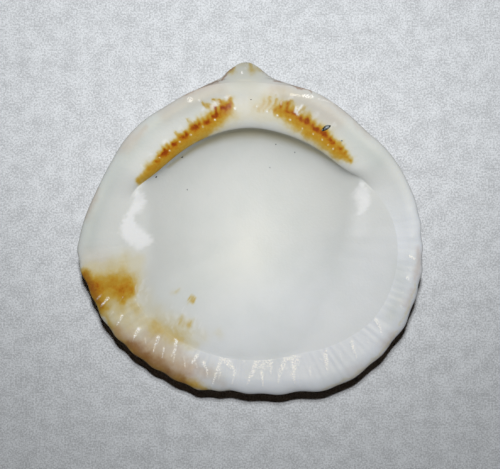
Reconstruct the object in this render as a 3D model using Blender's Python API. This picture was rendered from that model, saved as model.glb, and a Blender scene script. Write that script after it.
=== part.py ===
"""One valve of a comb bittersweet clam, resting on its convex back with the hollow side up.

The shell is grown the way the animal grows it. The rim of the valve is one closed ring. Every older
rim is that ring turned about the beak and made smaller, so the outside is a ring extruded again and
again towards the beak. The inside is extruded from the same rim: the toothed margin and the hinge
plate first, then the wall under the hinge plate and the floor of the hollow.

Angles round the rim are in degrees, from the middle of the ventral edge (-Y) towards +X. The hinge
is at 180. Lengths in the functions are in millimetres. Distances from the middle are measured in the
view straight down on the valve as it lies, and the plane of the rim is tilted under them.
"""

import math

import bmesh
import bpy
import numpy as np
from mathutils import Vector
from mathutils.bvhtree import BVHTree

MM = 0.001

# Outline of the valve: angle and distance from the middle, read off the photograph.
OUTLINE = (
    (0, 11.5), (9, 11.72), (18, 11.98), (27.5, 12.6), (40, 12.87), (52, 12.95), (61, 13.02),
    (69, 12.87), (78, 12.79), (86, 12.58), (99, 12.37), (108, 12.15), (115, 11.98), (123, 11.74),
    (132, 11.4), (141, 11.38), (149, 11.43), (157.5, 11.46), (163, 11.34), (171, 11.16),
    (180, 11.2), (188, 11.25), (196, 11.33), (204, 11.3), (213, 11.25), (222, 11.4), (232, 11.48),
    (242, 11.45), (253.5, 11.65), (265, 12.16), (274, 12.58), (279, 12.62), (284, 12.5),
    (289, 12.34), (302, 12.3), (315.5, 12.05), (327, 11.87), (334, 11.82), (341, 11.83),
    (347, 11.6), (352, 11.42),
)
# Inner edge of the margin: the line of the mantle round the sides and the arch under the hinge.
CONTOUR = (
    (0, 9.08), (22, 9.29), (34, 9.86), (45, 10.38), (56, 10.85), (75, 10.95), (95, 10.5),
    (116, 9.17), (126, 8.4), (138, 8.07), (161, 7.83), (180, 7.87), (203, 7.83), (226, 7.98),
    (237, 8.29), (250, 9.08), (270, 9.3), (291, 9.24), (302, 9.54), (318, 9.29), (346, 9.08),
)
# Angles of the raised teeth of the margin.
MARGIN_TEETH = (
    4.8, 17.2, 30.4, 42.7, 54, 64.9, 74.6, 82.4, 90.1, 98.5, 107.5, 117, 127, 137, 147, 157,
    167, 180, 193, 203, 213, 223, 233, 243, 252.5, 261.5, 270, 278, 286, 294.2, 303.4, 310.9,
    319.5, 327.5, 337.3, 345.5, 353.3,
)
TOOTHED_SIDES = (88.0, 112.0, 262.0, 284.0)

# Growth of the shell about the beak, which lies this far along, and below the plane of the rim.
BEAK_X = -0.35
BEAK_Y = 12.05
BEAK_DEPTH = 0.75
SHRINK = 0.98
SHRINK_RISE = 0.28
UMBO_PINCH = 0.28
PINCH_FROM = 0.45
PINCH_TO = 1.3
COIL_FREE = 21.0
COIL_FIXED = 7.0
# Ages of the rims that the outside passes through, as turns in radians. Rings get coarser with age.
FINE_TURNS = (0.06, 0.16, 0.3, 0.46, 0.64, 0.84, 1.06, 1.3)
HALF_TURNS = (1.55, 1.8, 2.05, 2.3)
QUARTER_TURNS = (2.55, 2.9)
OLDEST_TURN = 3.3
TURN_STEP = 0.01
ANGLE_STEP = 1.5

# Ribs of the outside, and the scallops they make in the rim.
RIB_HEIGHT = 0.15
SCALLOP = 0.05
RIBS_START = 0.12
RIBS_FADE = 1.3
RIBS_GONE = 2.4

# Rounded rim.
EDGE_DROP = 0.2
EDGE_DROP_HINGE = 0.5
EDGE_DROP_BEAK = 0.25
EDGE_WIDTH = 0.25
EDGE_WIDTH_HINGE = 0.65

# Margin and hinge plate. Rings cross them from the rim (1) to the inner edge (0).
MARGIN_RINGS = (0.97, 0.9, 0.8, 0.7, 0.58, 0.46, 0.34, 0.24, 0.15, 0.07, 0.0)
MARGIN_SLOPE = 0.3
MARGIN_CURVE = 1.5
MARGIN_TOOTH_HEIGHT = 0.12
MARGIN_TOOTH_SPAN = (0.05, 0.35, 0.8, 1.0)
HINGE_ENDS = (120.0, 243.0)
HINGE_BLEND = 9.0
LIP_DEPTH = 0.5
LIP_ROUNDING = 9.0
HINGE_TOOTH_HEIGHT = 0.28
TEETH_RIGHT = (129.7, 171.6, 8)
TEETH_LEFT = (186.7, 243.4, 9)
TEETH_SPAN = (0.14, 0.28, 0.62, 0.76)

# Hollow.
FLOOR_THICKNESS = 1.0
EDGE_THICKENING = 0.35
THICKENING_CURVE = 6
UNDERCUT = 0.35
STEEPEST = 0.6
LEAST_STEP = 0.05
# Rings down the wall: part of its depth, part of the undercut, and how far forward at the sides.
WALL_RINGS = ((0.3, 0.6, 0.1), (0.65, 1.0, 0.25), (0.9, 0.8, 0.45))
# Rings on the floor, as parts of the way out to its edge.
FLOOR_RINGS = (0.94, 0.84, 0.68)
MIDDLE_RINGS = (0.48, 0.24)

# How it rests.
REST_TILT = 7.0
FLAT_DEPTH = 0.1
REST_SPOT = (0.6, 2.1)
WORN_RADIUS = 1.6
WORN_END = 3.2
WORN_RIBS = 0.12

SAMPLES_PER_TOOTH = 4
MATERIAL_COLOUR = (0.82, 0.82, 0.78, 1.0)
MATERIAL_ROUGHNESS = 0.4
SHARP_ANGLE = 40.0


def smooth(low, high, value):
    """0 below low, 1 above high and an S curve between."""
    t = np.clip((value - low) / (high - low), 0.0, 1.0)
    return t * t * (3.0 - 2.0 * t)


def plateau(value, span):
    """0 up to the first of four marks, 1 between the second and third, 0 again past the last."""
    start, full, last, end = span
    return smooth(start, full, value) * (1.0 - smooth(last, end, value))


def round_curve(stations, theta):
    """The smooth closed curve through angle and distance stations, at an angle."""
    angles = np.array([s[0] for s in stations], float)
    values = np.array([s[1] for s in stations], float)
    angles = np.concatenate([angles[-2:] - 360.0, angles, angles[:2] + 360.0])
    values = np.concatenate([values[-2:], values, values[:2]])
    slopes = (values[2:] - values[:-2]) / (angles[2:] - angles[:-2])
    slopes = np.concatenate([slopes[:1], slopes, slopes[-1:]])
    theta = np.mod(theta, 360.0)
    k = np.clip(np.searchsorted(angles, theta, side="right") - 1, 0, len(angles) - 2)
    width = angles[k + 1] - angles[k]
    t = (theta - angles[k]) / width
    rise = t * t * (3.0 - 2.0 * t)
    start = t * (1.0 - t) ** 2
    finish = t * t * (t - 1.0)
    ends = values[k] + (values[k + 1] - values[k]) * rise
    return ends + width * (start * slopes[k] + finish * slopes[k + 1])


def wave(theta):
    """1 on a tooth of the margin, -1 halfway between two."""
    crests = np.array(MARGIN_TEETH, float)
    crests = np.concatenate([crests[-1:] - 360.0, crests, crests[:1] + 360.0])
    phase = np.interp(np.mod(theta, 360.0), crests, np.arange(len(crests), dtype=float))
    return np.cos(2.0 * math.pi * phase)


def toothed(theta):
    """1 round the ventral edge, where the margin has teeth, and 0 where it is plain."""
    right_low, right_high, left_low, left_high = TOOTHED_SIDES
    theta = np.mod(theta, 360.0)
    return 1.0 - smooth(right_low, right_high, theta) * (1.0 - smooth(left_low, left_high, theta))


def hinge(theta):
    """1 along the hinge plate, 0 round the rest of the rim."""
    low, high = HINGE_ENDS
    theta = np.mod(theta, 360.0)
    start = smooth(low - HINGE_BLEND, low + HINGE_BLEND, theta)
    return start * (1.0 - smooth(high - HINGE_BLEND, high + HINGE_BLEND, theta))


def hinge_tooth(theta):
    """1 on a hinge tooth, -1 in a socket and 0 where the hinge plate has neither."""
    theta = np.mod(theta, 360.0)
    total = np.zeros_like(theta)
    for first, last, count in (TEETH_RIGHT, TEETH_LEFT):
        pitch = (last - first) / count
        inside = smooth(first - pitch, first, theta) * (1.0 - smooth(last, last + pitch, theta))
        total = total + inside * np.cos(2.0 * math.pi * (theta - first) / pitch)
    return total


def direction(theta):
    """Outward unit vector in the plane of the rim."""
    turn = np.radians(theta)
    return np.stack([np.sin(turn), -np.cos(turn), np.zeros_like(turn)], axis=-1)


def flat_ring(theta, radius, height):
    """A ring of points at these distances from the middle and these heights over the rim's plane."""
    ring = direction(theta) * np.asarray(radius)[..., None]
    tilt = math.radians(REST_TILT)
    ring[..., 2] = (height + ring[..., 1] * math.sin(tilt)) / math.cos(tilt)
    return ring


def over_plane(ring):
    """Heights of points over the rim's plane."""
    tilt = math.radians(REST_TILT)
    return ring[:, 2] * math.cos(tilt) - ring[:, 1] * math.sin(tilt)


def edge_radius(theta):
    """Distance of the shell's edge from the middle, with the scallops of the ribs."""
    return round_curve(OUTLINE, theta) - SCALLOP * wave(theta) * toothed(theta)


def edge_drop(theta):
    """How far the outside starts below the top of the rounded rim."""
    drop = EDGE_DROP + (EDGE_DROP_HINGE - EDGE_DROP) * hinge(theta)
    return EDGE_DROP_BEAK + (drop - EDGE_DROP_BEAK) * coil(theta)


def outer_edge(theta):
    """The edge where the rounded rim meets the outside of the shell."""
    return flat_ring(theta, edge_radius(theta), -edge_drop(theta))


def growth(turn):
    """Size of an older rim against the last one."""
    return math.exp(-turn * (SHRINK + SHRINK_RISE * turn))


def coil(theta):
    """How much a part of the rim takes part in the coiling: none behind the beak."""
    away = np.abs(np.mod(theta, 360.0) - 180.0)
    return smooth(COIL_FIXED, COIL_FREE, away)


def older_edge(theta, turn, rib_height=RIB_HEIGHT):
    """The rim at an earlier age, turned about the beak by this many radians."""
    beak = flat_ring(np.array([180.0]), np.array([BEAK_Y]), -BEAK_DEPTH)[0]
    beak[0] = BEAK_X

    def bare(angle, age):
        arm = outer_edge(angle) - beak
        size = growth(age)
        swing = age * coil(angle)
        y = arm[:, 1] * np.cos(swing) - arm[:, 2] * np.sin(swing)
        z = arm[:, 1] * np.sin(swing) + arm[:, 2] * np.cos(swing)
        pinch = 1.0 - UMBO_PINCH * smooth(PINCH_FROM, PINCH_TO, age)
        return beak + size * np.stack([arm[:, 0] * pinch, y, z], axis=-1)

    along = bare(theta + ANGLE_STEP, turn) - bare(theta - ANGLE_STEP, turn)
    back = bare(theta, turn + TURN_STEP) - bare(theta, turn - TURN_STEP)
    normal = np.cross(back, along)
    normal = normal / np.linalg.norm(normal, axis=1)[:, None]
    grown = smooth(0.0, RIBS_START, turn) * (1.0 - smooth(RIBS_FADE, RIBS_GONE, turn))
    points = bare(theta, turn)
    away = np.hypot(points[:, 0] - REST_SPOT[0], points[:, 1] - REST_SPOT[1])
    worn = WORN_RIBS + (1.0 - WORN_RIBS) * smooth(WORN_RADIUS, WORN_END, away)
    height = -rib_height * growth(turn) * grown * wave(theta) * coil(theta) * worn
    return points + normal * height[:, None]


def margin_ring(theta, t):
    """A ring across the margin and the hinge plate, from its inner edge (0) to the rim (1)."""
    weight = hinge(theta)
    inner = round_curve(CONTOUR, theta)
    outer = edge_radius(theta)
    width = outer - inner
    round_off = EDGE_WIDTH + (EDGE_WIDTH_HINGE - EDGE_WIDTH) * weight
    distance = inner + width * t
    beyond = np.clip((distance - (outer - round_off)) / round_off, 0.0, 1.0)
    rounding = -edge_drop(theta) * (1.0 - np.sqrt(1.0 - beyond ** 2))
    free = -MARGIN_SLOPE * width * (1.0 - t) ** MARGIN_CURVE
    lip = -LIP_DEPTH * np.exp(-LIP_ROUNDING * t)
    height = free * (1.0 - weight) + lip * weight + rounding
    groove = 0.5 * MARGIN_TOOTH_HEIGHT * (1.0 - wave(theta)) * toothed(theta)
    height = height - groove * plateau(t, MARGIN_TOOTH_SPAN)
    relief = 0.5 * HINGE_TOOTH_HEIGHT * hinge_tooth(theta) * weight
    height = height + relief * plateau(t, TEETH_SPAN)
    return flat_ring(theta, distance, height)


def floor_height(tree, points, thickness):
    """Height of the floor of the hollow under these points, one shell thickness off the outside."""
    heights = []
    for x, y, _ in points:
        hit, normal, _, _ = tree.ray_cast(Vector((x, y, 10.0)), Vector((0.0, 0.0, -1.0)))
        heights.append(hit.z + thickness / max(abs(normal.z), STEEPEST))
    return np.array(heights)


def wall_ring(tree, theta, depth, back, forward):
    """A ring on the wall under the inner edge: back under the hinge plate, forward elsewhere."""
    weight = hinge(theta)
    lip = over_plane(margin_ring(theta, 0.0))
    inner = round_curve(CONTOUR, theta)
    radius = inner + UNDERCUT * back * weight - forward * (1.0 - weight)
    ring = flat_ring(theta, radius, lip)
    thickness = FLOOR_THICKNESS + EDGE_THICKENING
    floor = np.minimum(floor_height(tree, ring, thickness), ring[:, 2] - LEAST_STEP)
    ring[:, 2] = ring[:, 2] + (floor - ring[:, 2]) * depth
    return ring


def floor_ring(tree, theta, part):
    """A ring on the floor of the hollow, at this part of the way out to its edge."""
    ring = flat_ring(theta, round_curve(CONTOUR, theta) * part, 0.0)
    thickness = FLOOR_THICKNESS + EDGE_THICKENING * part ** THICKENING_CURVE
    ring[:, 2] = floor_height(tree, ring, thickness)
    return ring


def sample_angles():
    """Angles of the points of a ring: a whole number of them to each tooth."""
    marks = [angle for angle in MARGIN_TEETH if angle < HINGE_ENDS[0]]
    for first, last, count in (TEETH_RIGHT, TEETH_LEFT):
        marks += [first + (last - first) * k / count for k in range(count + 1)]
    marks += [angle for angle in MARGIN_TEETH if angle > HINGE_ENDS[1] + HINGE_BLEND]
    marks.append(marks[0] + 360.0)
    angles = []
    for low, high in zip(marks, marks[1:]):
        for k in range(SAMPLES_PER_TOOTH):
            angles.append(low + (high - low) * k / SAMPLES_PER_TOOTH)
    return np.array(angles)


def place(ring, points):
    """Moves the vertices of a ring to these points."""
    for vert, point in zip(ring, points):
        vert.co = Vector(point)


def extruded(bm, ring):
    """The ring of new vertices that extruding a closed ring makes, in the same order."""
    edges = [bm.edges.get((a, b)) for a, b in zip(ring, ring[1:] + ring[:1])]
    made = bmesh.ops.extrude_edge_only(bm, edges=edges)["geom"]
    fresh = {item for item in made if isinstance(item, bmesh.types.BMVert)}
    grown = []
    for vert in ring:
        ends = [edge.other_vert(vert) for edge in vert.link_edges]
        grown.append(next(end for end in ends if end in fresh))
    return grown


def extruded_coarser(bm, ring):
    """Extrudes a ring and merges every second new vertex into the one before it."""
    grown = extruded(bm, ring)
    bmesh.ops.weld_verts(bm, targetmap=dict(zip(grown[1::2], grown[0::2])))
    return grown[0::2]


def closed_at(bm, ring, point):
    """Draws a last ring together at one point."""
    last = extruded(bm, ring)
    bmesh.ops.pointmerge(bm, verts=last, merge_co=Vector(point))


def new_ring(bm, theta):
    """The ring that everything is extruded from: the edge between the outside and the margin."""
    bmesh.ops.create_circle(bm, cap_ends=False, radius=1.0, segments=len(theta))
    ring = list(bm.verts)
    place(ring, outer_edge(theta))
    return ring


def grow_outside(bm, ring, theta, rib_height):
    """Extrudes the outside of the shell from its edge to the beak."""
    for turn in FINE_TURNS:
        ring = extruded(bm, ring)
        place(ring, older_edge(theta, turn, rib_height))
    for turns in (HALF_TURNS, QUARTER_TURNS):
        theta = theta[0::2]
        for turn in turns:
            ring = extruded_coarser(bm, ring) if turn == turns[0] else extruded(bm, ring)
            place(ring, older_edge(theta, turn, rib_height))
    closed_at(bm, ring, np.mean(older_edge(theta, OLDEST_TURN, 0.0), axis=0))


def build_guide(theta):
    """The outside with no ribs, as a tree that rays can be cast at."""
    bm = bmesh.new()
    grow_outside(bm, new_ring(bm, theta), theta, 0.0)
    bmesh.ops.recalc_face_normals(bm, faces=bm.faces)
    tree = BVHTree.FromBMesh(bm)
    bm.free()
    return tree


def build_valve():
    """The whole valve as one closed body, tilted as it rests but not yet set down."""
    theta = sample_angles()
    tree = build_guide(theta)
    bm = bmesh.new()
    ring = new_ring(bm, theta)
    grow_outside(bm, ring, theta, RIB_HEIGHT)
    for t in MARGIN_RINGS:
        ring = extruded(bm, ring)
        place(ring, margin_ring(theta, t))
    theta = theta[0::2]
    for level in WALL_RINGS:
        ring = extruded_coarser(bm, ring) if level == WALL_RINGS[0] else extruded(bm, ring)
        place(ring, wall_ring(tree, theta, *level))
    for part in FLOOR_RINGS:
        ring = extruded(bm, ring)
        place(ring, floor_ring(tree, theta, part))
    theta = theta[0::2]
    for part in MIDDLE_RINGS:
        ring = extruded_coarser(bm, ring) if part == MIDDLE_RINGS[0] else extruded(bm, ring)
        place(ring, floor_ring(tree, theta, part))
    middle = np.zeros((1, 3))
    closed_at(bm, ring, (0.0, 0.0, floor_height(tree, middle, FLOOR_THICKNESS)[0]))
    bmesh.ops.recalc_face_normals(bm, faces=bm.faces)
    return bm


def settle(bm):
    """Sets the valve down, flattens the spot it rests on and puts the spot's middle at the origin."""
    lowest = min(vert.co.z for vert in bm.verts)
    bmesh.ops.translate(bm, vec=(0.0, 0.0, -lowest - FLAT_DEPTH), verts=bm.verts)
    everything = list(bm.verts) + list(bm.edges) + list(bm.faces)
    cut = bmesh.ops.bisect_plane(
        bm,
        geom=everything,
        plane_co=(0.0, 0.0, 0.0),
        plane_no=(0.0, 0.0, -1.0),
        clear_outer=True,
    )
    rims = [item for item in cut["geom_cut"] if isinstance(item, bmesh.types.BMEdge)]
    filled = bmesh.ops.triangle_fill(bm, edges=rims, use_dissolve=False, use_beauty=True)
    flat = [item for item in filled["geom"] if isinstance(item, bmesh.types.BMFace)]
    area = sum(face.calc_area() for face in flat)
    middle = sum((face.calc_center_median() * face.calc_area() for face in flat), Vector()) / area
    bmesh.ops.translate(bm, vec=(-middle.x, -middle.y, 0.0), verts=bm.verts)
    bmesh.ops.recalc_face_normals(bm, faces=bm.faces)


def shell_material():
    """White porcelain-like shell."""
    material = bpy.data.materials.new("shell")
    material.use_nodes = True
    shader = material.node_tree.nodes["Principled BSDF"]
    shader.inputs["Base Color"].default_value = MATERIAL_COLOUR
    shader.inputs["Roughness"].default_value = MATERIAL_ROUGHNESS
    shader.inputs["Metallic"].default_value = 0.0
    material.diffuse_color = MATERIAL_COLOUR
    return material


def main():
    """Clears the scene and makes the valve."""
    for old in list(bpy.data.objects):
        bpy.data.objects.remove(old)
    bm = build_valve()
    settle(bm)
    bmesh.ops.scale(bm, vec=(MM, MM, MM), verts=bm.verts)
    mesh = bpy.data.meshes.new("valve")
    bm.to_mesh(mesh)
    bm.free()
    mesh.shade_smooth()
    mesh.set_sharp_from_angle(angle=math.radians(SHARP_ANGLE))
    mesh.materials.append(shell_material())
    valve = bpy.data.objects.new("valve", mesh)
    bpy.context.scene.collection.objects.link(valve)


main()
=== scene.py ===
"""Looks of one valve of a comb bittersweet clam, lying on its convex back with the hollow side up.

The shell is grown by the same law as its solid: the rim is one closed ring, every older rim is that
ring turned about the beak and made smaller, and the inside runs from the rim over the toothed margin
and the hinge plate, down the wall and over the floor of the hollow.

Lengths are in millimetres until a mesh is finished, and then in metres. Angles round the rim are in
degrees from the middle of the ventral edge (-Y) towards +X, so the hinge is at 180. A place called
plan is measured straight down on the valve as it lies, from the middle of the valve.
"""

import logging
import math
from dataclasses import dataclass, field
from enum import Enum

import bpy
import numpy as np
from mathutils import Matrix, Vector


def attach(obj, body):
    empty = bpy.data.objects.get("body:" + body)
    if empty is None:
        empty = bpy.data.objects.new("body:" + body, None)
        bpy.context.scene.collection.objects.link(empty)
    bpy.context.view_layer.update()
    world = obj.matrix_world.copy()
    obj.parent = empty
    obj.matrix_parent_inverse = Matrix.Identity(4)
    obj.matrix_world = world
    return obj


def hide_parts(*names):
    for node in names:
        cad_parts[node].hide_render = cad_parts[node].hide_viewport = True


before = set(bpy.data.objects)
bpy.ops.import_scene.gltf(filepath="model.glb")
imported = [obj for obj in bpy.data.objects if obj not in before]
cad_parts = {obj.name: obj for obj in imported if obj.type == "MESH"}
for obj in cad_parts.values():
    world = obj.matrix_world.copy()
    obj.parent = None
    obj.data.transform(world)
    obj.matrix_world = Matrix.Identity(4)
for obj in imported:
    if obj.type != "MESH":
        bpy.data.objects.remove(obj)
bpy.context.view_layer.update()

MM = 0.001
HINGE = 180.0
# From the places of the growth law to the valve as it lies on the floor.
SET_DOWN = (-0.5493, -2.0303, 6.8085)

Span = tuple[float, float]
Triple = tuple[float, float, float]
Quad = tuple[float, float, float, float]
Stations = tuple[Span, ...]
Path = tuple[Triple, ...]
Values = np.ndarray
Thing = bpy.types.Object
Socket = bpy.types.NodeSocket


def smooth(low: float, high: float, value: Values | float) -> Values:
    """An S curve.

    Args:
        low: Where it leaves 0.
        high: Where it reaches 1.
        value: Where it is read.

    Returns:
        Values from 0 to 1.
    """
    t = np.clip((value - low) / (high - low), 0.0, 1.0)
    return t * t * (3.0 - 2.0 * t)


def plateau(value: Values | float, span: Quad) -> Values:
    """A flat-topped bump.

    Args:
        value: Where it is read.
        span: Where it starts, is full, is last full and has ended.

    Returns:
        Values from 0 to 1.
    """
    start, full, last, end = span
    return smooth(start, full, value) * (1.0 - smooth(last, end, value))


def hump(value: Values, centre: float, width: float) -> Values:
    """A bell curve with its top at the centre.

    Args:
        value: Where it is read.
        centre: Place of the top.
        width: Distance at which it has fallen to a third.

    Returns:
        Values from 0 to 1.
    """
    return np.exp(-(((value - centre) / width) ** 2))


def round_curve(stations: Stations, theta: Values) -> Values:
    """The smooth closed curve through stations round the rim.

    Args:
        stations: Pairs of an angle and a value.
        theta: Angles where the curve is read.

    Returns:
        Its values there.
    """
    angles = np.array([s[0] for s in stations], float)
    values = np.array([s[1] for s in stations], float)
    angles = np.concatenate([angles[-2:] - 360.0, angles, angles[:2] + 360.0])
    values = np.concatenate([values[-2:], values, values[:2]])
    slopes = (values[2:] - values[:-2]) / (angles[2:] - angles[:-2])
    slopes = np.concatenate([slopes[:1], slopes, slopes[-1:]])
    theta = np.mod(theta, 360.0)
    k = np.clip(np.searchsorted(angles, theta, side="right") - 1, 0, len(angles) - 2)
    width = angles[k + 1] - angles[k]
    t = (theta - angles[k]) / width
    rise = t * t * (3.0 - 2.0 * t)
    start = t * (1.0 - t) ** 2
    finish = t * t * (t - 1.0)
    ends = values[k] + (values[k + 1] - values[k]) * rise
    return ends + width * (start * slopes[k] + finish * slopes[k + 1])


def line_of(stations: Stations, theta: Values) -> Values:
    """Straight lines from station to station.

    Args:
        stations: Pairs of an angle and a value, in order of angle.
        theta: Angles where the line is read.

    Returns:
        Its values there.
    """
    return np.interp(np.mod(theta, 360.0), [s[0] for s in stations], [s[1] for s in stations])


@dataclass(frozen=True)
class Ripple:
    """Soft seeded noise made of plane waves, about from -height to height."""

    seed: int
    wavelength: float
    height: float = 1.0
    count: int = 28
    stretch: Span = (0.7, 1.5)

    def at(self, *axes: Values) -> Values:
        """The noise at some places.

        Args:
            axes: Coordinates, one array for each axis.

        Returns:
            One value for each place.
        """
        rng = np.random.default_rng(self.seed)
        total = np.zeros_like(axes[0])
        for _ in range(self.count):
            heading = rng.normal(size=len(axes))
            heading /= np.linalg.norm(heading)
            wave = self.wavelength * rng.uniform(*self.stretch)
            phase = rng.uniform(0.0, 2.0 * math.pi)
            run = sum(h * a for h, a in zip(heading, axes))
            total = total + np.cos(2.0 * math.pi * run / wave + phase)
        return self.height * (total * math.sqrt(1.0 / self.count))


@dataclass(frozen=True)
class Stroke:
    """A soft-edged line, for a stain or a low relief.

    The path holds places x and y in the plan and half the width of the line there.
    """

    amount: float
    softness: float
    path: Path
    fade: float = 0.7
    crispness: float = 1.8

    def over(self, x: Values, y: Values) -> Values:
        """How strong the line is at some places.

        Args:
            x: Places along X.
            y: Places along Y.

        Returns:
            Its amount on the line, falling to 0 beside it.
        """
        best = np.zeros_like(x)
        path = self.path if len(self.path) > 1 else self.path * 2
        for (ax, ay, aw), (bx, by, bw) in zip(path, path[1:]):
            length = max((bx - ax) ** 2 + (by - ay) ** 2, 1e-9)
            t = np.clip(((x - ax) * (bx - ax) + (y - ay) * (by - ay)) / length, 0.0, 1.0)
            away = np.hypot(x - ax - t * (bx - ax), y - ay - t * (by - ay))
            width = aw + (bw - aw) * t
            near = np.exp(-self.fade * (away / width) ** (self.crispness / self.softness))
            best = np.maximum(best, near)
        return best * self.amount


def strokes(*rows: tuple[int, ...]) -> tuple[Stroke, ...]:
    """Strokes from rows of whole numbers, in hundredths.

    Args:
        rows: The amount and the softness of a stroke, and then x, y and half the width at each place.

    Returns:
        One stroke for each row.
    """
    scaled = [[number / 100 for number in row] for row in rows]
    return tuple(Stroke(row[0], row[1], tuple(zip(row[2::3], row[3::3], row[4::3]))) for row in scaled)


@dataclass(frozen=True)
class Mound:
    """A small oval bump, or a pit where its height is negative."""

    x: float
    y: float
    along: float
    across: float
    turn: float
    height: float

    def over(self, x: Values, y: Values) -> Values:
        """Its height at some places.

        Args:
            x: Places along X.
            y: Places along Y.

        Returns:
            One height for each place.
        """
        turn = math.radians(self.turn)
        u = (x - self.x) * math.cos(turn) + (y - self.y) * math.sin(turn)
        v = (y - self.y) * math.cos(turn) - (x - self.x) * math.sin(turn)
        return self.height * np.exp(-((u / self.along) ** 2 + (v / self.across) ** 2))


def painted(layer: tuple[Stroke, ...], x: Values, y: Values) -> Values:
    """Some strokes laid over each other, each thinned by what is already there.

    Args:
        layer: The strokes.
        x: Places along X.
        y: Places along Y.

    Returns:
        One amount for each place, from 0 to 1.
    """
    bare = np.ones_like(x)
    for stroke in layer:
        bare = bare * (1.0 - stroke.over(x, y))
    return 1.0 - bare


@dataclass(frozen=True)
class ShellForm:
    """The growth law of the valve: its outline, its coiling, its margin and its hollow."""

    outline: Stations = (
        (0, 11.5), (9, 11.72), (18, 11.98), (27.5, 12.6), (40, 12.87), (52, 12.95),
        (61, 13.02), (69, 12.87), (78, 12.79), (86, 12.58), (99, 12.37), (108, 12.15),
        (115, 11.98), (123, 11.74), (132, 11.4), (141, 11.38), (149, 11.43), (157.5, 11.46),
        (163, 11.34), (171, 11.16), (180, 11.2), (188, 11.25), (196, 11.33), (204, 11.3),
        (213, 11.25), (222, 11.4), (232, 11.48), (242, 11.45), (253.5, 11.65), (265, 12.16),
        (274, 12.58), (279, 12.62), (284, 12.5), (289, 12.34), (302, 12.3), (315.5, 12.05),
        (327, 11.87), (334, 11.82), (341, 11.83), (347, 11.6), (352, 11.42),
    )
    contour: Stations = (
        (0, 9.08), (22, 9.29), (34, 9.86), (45, 10.38), (56, 10.85), (75, 10.95), (95, 10.5),
        (116, 9.17), (126, 8.4), (138, 8.07), (161, 7.83), (180, 7.87), (203, 7.83),
        (226, 7.98), (237, 8.29), (250, 9.08), (270, 9.3), (291, 9.24), (302, 9.54),
        (318, 9.29), (346, 9.08),
    )
    teeth: tuple[float, ...] = (
        4.8, 17.2, 30.4, 42.7, 54, 64.9, 74.6, 82.4, 90.1, 98.5, 107.5, 117, 127, 137, 147,
        157, 167, 180, 193, 203, 213, 223, 233, 243, 252.5, 261.5, 270, 278, 286, 294.2,
        303.4, 310.9, 319.5, 327.5, 337.3, 345.5, 353.3,
    )
    toothed_sides: Quad = (88.0, 112.0, 262.0, 284.0)
    beak: Triple = (-0.35, 12.05, 0.75)
    shrink: float = 0.98
    shrink_rise: float = 0.28
    pinch: float = 0.28
    pinch_span: Span = (0.45, 1.3)
    coil_span: Span = (1.0, 38.0)
    oldest: float = 3.3
    probe: Span = (1.5, 0.01)
    tilt: float = 7.0
    # The dome of the beak: its top, its fall along Y and X, and where it starts and ends.
    dome_at: Triple = (-0.3, 11.2, -0.15)
    dome_fall: Quad = (0.32, 0.32, 0.1, 0.03)
    dome_reach: Span = (2.2, 3.2)
    dome_start: Span = (-0.1, 0.2)
    dome_facing: Span = (-0.08, 0.1)
    dome_softness: float = 0.08

    rib_height: float = 0.16
    rib_roundness: float = 0.6
    rib_span: Quad = (0.0, 0.1, 1.3, 2.4)
    scallop: float = 0.05
    rest_spot: Span = (0.6, 2.1)
    worn_span: Span = (1.6, 3.2)
    worn_ribs: float = 0.12
    plain_span: Span = (24.0, 60.0)
    pauses: Stations = (
        (0.09, 0.05), (0.2, 0.035), (0.34, 0.06), (0.47, 0.03), (0.62, 0.05), (0.78, 0.03),
        (0.97, 0.045), (1.18, 0.03), (1.42, 0.03),
    )
    # Length of the step after a pause, and the place and width of its lip, as turns.
    pause_shape: Triple = (0.035, -0.012, 0.012)
    pause_wander: Ripple = Ripple(5, 9.0, 0.02)

    # The rounded rim: how far it falls to the outside, and how wide it is.
    edge_drop: Stations = (
        (0, 0.8), (60, 0.72), (90, 0.5), (120, 0.45), (240, 0.45), (268, 0.5), (300, 0.72),
        (360, 0.8),
    )
    edge_drop_beak: float = 0.16
    edge_width: Stations = (
        (0, 1.15), (60, 1.1), (92, 0.95), (265, 0.95), (300, 1.1), (360, 1.15),
    )
    hinge_ends: Span = (115.5, 247.5)
    hinge_blend: float = 7.0
    lip_depth: float = 0.5
    lip_rounding: float = 9.0
    slopes: Stations = (
        (0, 0.1), (30, 0.09), (60, 0.1), (90, 0.18), (120, 0.3), (240, 0.3), (270, 0.18),
        (300, 0.1), (330, 0.09), (360, 0.1),
    )

    floor_level: float = 2.4
    bowl_radius: float = 9.0
    bowl_rise: Stations = (
        (0, 3.1), (30, 3.2), (60, 4.3), (90, 5.1), (115, 4.4), (145, 3.3), (180, 2.8),
        (215, 3.7), (247, 4.9), (270, 5.1), (285, 4.4), (300, 3.5), (330, 3.1),
    )
    shoulder_slope: float = 0.27
    shoulder_round: float = 0.22
    wall_reach: Span = (0.2, 1.2)
    wall_foot: float = 0.36

    @property
    def middle(self) -> float:
        """Height of the floor in the middle of the hollow, by the growth law."""
        return self.floor_level - SET_DOWN[2]

    def weight_of_hinge(self, theta: Values) -> Values:
        """1 along the hinge plate, 0 round the rest of the rim."""
        low, high, blend = *self.hinge_ends, self.hinge_blend
        return plateau(np.mod(theta, 360.0), (low - blend, low + blend, high - blend, high + blend))

    def toothed(self, theta: Values) -> Values:
        """1 round the ventral edge, where the margin has teeth, and 0 where it is plain."""
        return 1.0 - plateau(np.mod(theta, 360.0), self.toothed_sides)

    def tooth_count(self, theta: Values) -> Values:
        """Teeth of the margin passed so far.

        Args:
            theta: Angles round the rim.

        Returns:
            A number that is whole on each tooth and grows steadily between two.
        """
        crests = np.array(self.teeth, float)
        crests = np.concatenate([crests[-1:] - 360.0, crests, crests[:1] + 360.0])
        return np.interp(np.mod(theta, 360.0), crests, np.arange(len(crests), dtype=float))

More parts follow.
